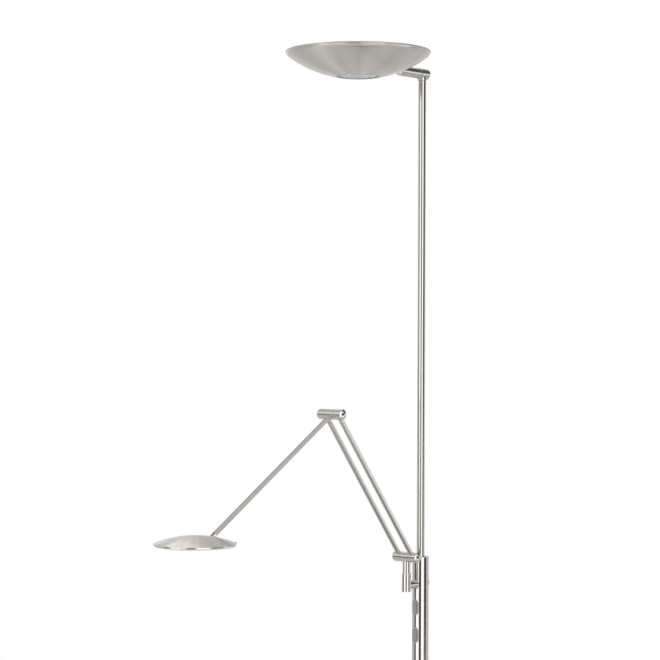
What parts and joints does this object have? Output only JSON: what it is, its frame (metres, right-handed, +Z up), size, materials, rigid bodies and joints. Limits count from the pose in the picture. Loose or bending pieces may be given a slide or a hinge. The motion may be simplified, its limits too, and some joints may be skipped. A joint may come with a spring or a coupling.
{
  "type": "torchiere floor lamp with reading light",
  "caption": "Floor lamp with a round base, a stepped mast, a tilting uplight bowl and a jointed twin-rod arm that carries a shallow domed reading head.",
  "frame": {"origin": "centre of the base on the floor, on the mast axis", "axes": "+Z up along the mast; the bowl and the reading arm point along -Y; the hinge barrels of the reading arm lie along X"},
  "size_m": [0.29, 0.8782, 1.7979],
  "materials": {
    "satin_nickel": "satin nickel plating with fine turned grain",
    "polished_nickel": "polished nickel",
    "zinc_steel": "zinc-plated steel",
    "iron": "black lacquered cast iron",
    "aluminium_sheet": "plain aluminium sheet",
    "felt": "dense dark felt",
    "satin_glass": "etched satin glass",
    "opal": "opal acrylic, matt",
    "grey_plastic": "silver-grey plastic, satin",
    "black_plastic": "black moulded plastic",
    "black_rubber": "black rubber",
    "nylon": "natural nylon",
    "driver_case": "white moulded plastic",
    "led_board": "white lacquered circuit board with yellow emitters"
  },
  "bodies": {
    "stand": {"base_pad": "felt", "base_weight": "iron", "base_cover": "satin_nickel", "base_screws": "zinc_steel", "led_driver": "driver_case", "cable_gland": "black_rubber", "tie_nipple": "zinc_steel", "tie_nut": "zinc_steel", "foot_plug": "zinc_steel", "foot_collar": "satin_nickel", "lower_mast_tube": "satin_nickel", "mast_reducer": "satin_nickel", "mast_grub_screws": "zinc_steel", "upper_mast_tube": "satin_nickel", "mast_top_spigot": "zinc_steel", "switch_bezels": "grey_plastic", "switch_bodies": "black_plastic", "swivel_bracket": "satin_nickel", "bracket_bolt": "polished_nickel", "swivel_bush": "nylon"},
    "uplight_button": {"uplight_button": "grey_plastic"},
    "reading_button": {"reading_button": "grey_plastic"},
    "bowl_yoke": {"yoke_barrel": "satin_nickel", "yoke_axle": "zinc_steel", "axle_nut": "zinc_steel"},
    "bowl": {"bowl_barrel": "satin_nickel", "bowl_barrel_cap": "polished_nickel", "bowl_saddle": "satin_nickel", "saddle_screws": "zinc_steel", "bowl_shell": "satin_nickel", "bowl_glass_ring": "polished_nickel", "bowl_glass": "satin_glass", "uplight_standoffs": "zinc_steel", "uplight_heat_sink": "aluminium_sheet", "uplight_led_board": "led_board", "uplight_diffuser": "opal"},
    "arm_turret": {"shoulder_post": "satin_nickel", "post_retainer": "zinc_steel", "shoulder_centre": "satin_nickel", "shoulder_axle": "zinc_steel", "shoulder_washers": "nylon"},
    "upper_arm": {"shoulder_left": "satin_nickel", "shoulder_right": "satin_nickel", "hinge_caps": "polished_nickel", "rod_left": "satin_nickel", "rod_right": "satin_nickel", "elbow_left": "satin_nickel", "elbow_right": "satin_nickel", "elbow_axle": "zinc_steel"},
    "forearm": {"elbow_centre": "satin_nickel", "elbow_washers": "nylon", "forearm_tube": "satin_nickel", "forearm_tip": "satin_nickel"},
    "reading_head": {"head_dome": "satin_nickel", "head_bracket": "zinc_steel", "head_pin": "zinc_steel", "head_tray": "aluminium_sheet", "head_led_board": "led_board", "head_diffuser": "opal", "head_rim_screws": "polished_nickel"}
  },
  "joints": [
    {"name": "bowl_swivel", "type": "hinge", "parent": "stand", "child": "bowl_yoke", "pos_m": [0, 0, 1.773], "axis": [0, 0, 1], "range_deg": [-160, 160]},
    {"name": "bowl_tilt", "type": "hinge", "parent": "bowl_yoke", "child": "bowl", "pos_m": [0, 0, 1.773], "axis": [0, 1, 0], "range_deg": [-45, 45]},
    {"name": "arm_swivel", "type": "hinge", "parent": "stand", "child": "arm_turret", "pos_m": [0, -0.0463, 0.7778], "axis": [0, 0, 1], "range_deg": [-42, 42]},
    {"name": "shoulder_hinge", "type": "hinge", "parent": "arm_turret", "child": "upper_arm", "pos_m": [0, -0.0463, 0.7778], "axis": [1, 0, 0], "range_deg": [-30, 45]},
    {"name": "elbow_hinge", "type": "hinge", "parent": "upper_arm", "child": "forearm", "pos_m": [0, -0.2821, 1.07745], "axis": [1, 0, 0], "range_deg": [-50, 60]},
    {"name": "head_tilt", "type": "hinge", "parent": "forearm", "child": "reading_head", "pos_m": [0, -0.6211, 0.85898], "axis": [1, 0, 0], "range_deg": [-45, 25]},
    {"name": "uplight_press", "type": "slide", "parent": "stand", "child": "uplight_button", "axis": [0, 1, 0], "range_m": [0, 0.0008], "stiffness_N_per_m": 600},
    {"name": "reading_press", "type": "slide", "parent": "stand", "child": "reading_button", "axis": [0, 1, 0], "range_m": [0, 0.0008], "stiffness_N_per_m": 600}
  ]
}
